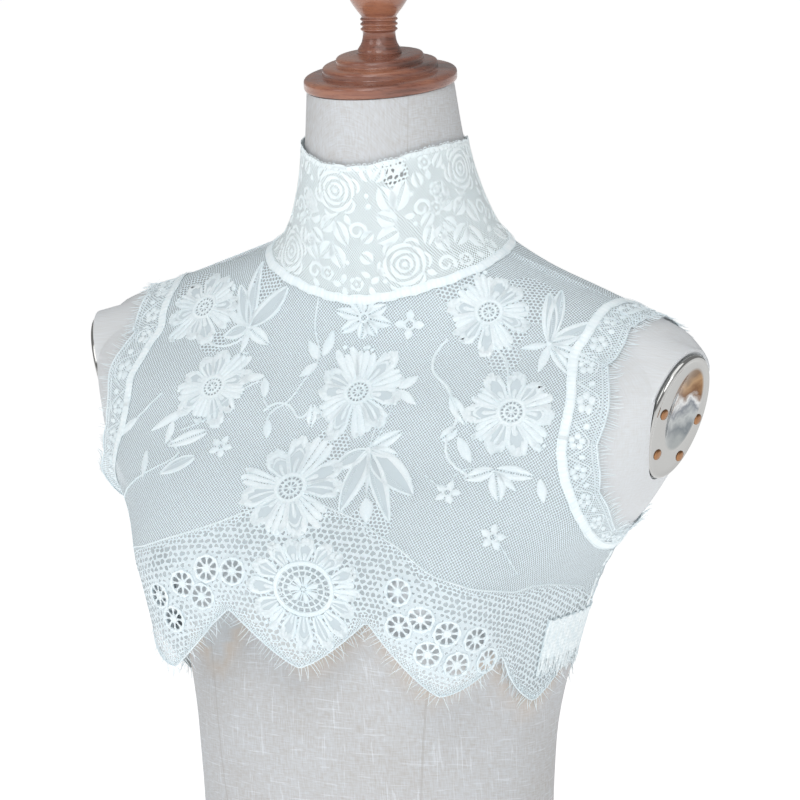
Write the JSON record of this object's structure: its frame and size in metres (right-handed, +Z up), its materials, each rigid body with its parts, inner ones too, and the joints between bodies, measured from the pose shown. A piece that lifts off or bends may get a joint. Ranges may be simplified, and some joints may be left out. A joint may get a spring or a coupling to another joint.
{
  "type": "lace collar on a dress form",
  "caption": "Sleeveless floral lace collar yoke with a high stand neck and scalloped fringed hem, worn on a limbless linen-covered dress form with a turned wooden neck cap.",
  "frame": {"origin": "centre of the form's flat base, the face it stands on", "axes": "+Z up the form, the form faces -Y, +X is the form's own left side"},
  "size_m": [0.422, 0.2536, 0.7768],
  "materials": {
    "linen": "slubby undyed linen cover, matt",
    "wood": "turned, stained red-brown and waxed",
    "chrome": "polished",
    "lace": "cool white floral lace on a net ground, matt",
    "galloon": "cool white rose galloon lace, matt",
    "tape": "cool white woven tape and shirred elastic",
    "button": "covered button, satin"
  },
  "bodies": {
    "root": {"form_body": "linen", "neck_cap": "wood", "arm_plate_left": "chrome", "arm_plate_right": "chrome", "front_panel": "lace", "back_panel_left": "lace", "back_panel_right": "lace", "collar_band": "galloon", "neck_tape": "tape", "armhole_tape_left": "tape", "armhole_tape_right": "tape", "armhole_trim_left": "lace", "armhole_trim_right": "lace", "side_tape_left": "tape", "side_tape_right": "tape", "side_elastic_left": "tape", "side_elastic_right": "tape", "hem_fringe_front": "lace", "hem_fringe_back_left": "lace", "hem_fringe_back_right": "lace", "trim_fringe_left": "lace", "trim_fringe_right": "lace", "collar_button_1": "button", "collar_button_2": "button", "collar_button_3": "button"}
  },
  "joints": []
}
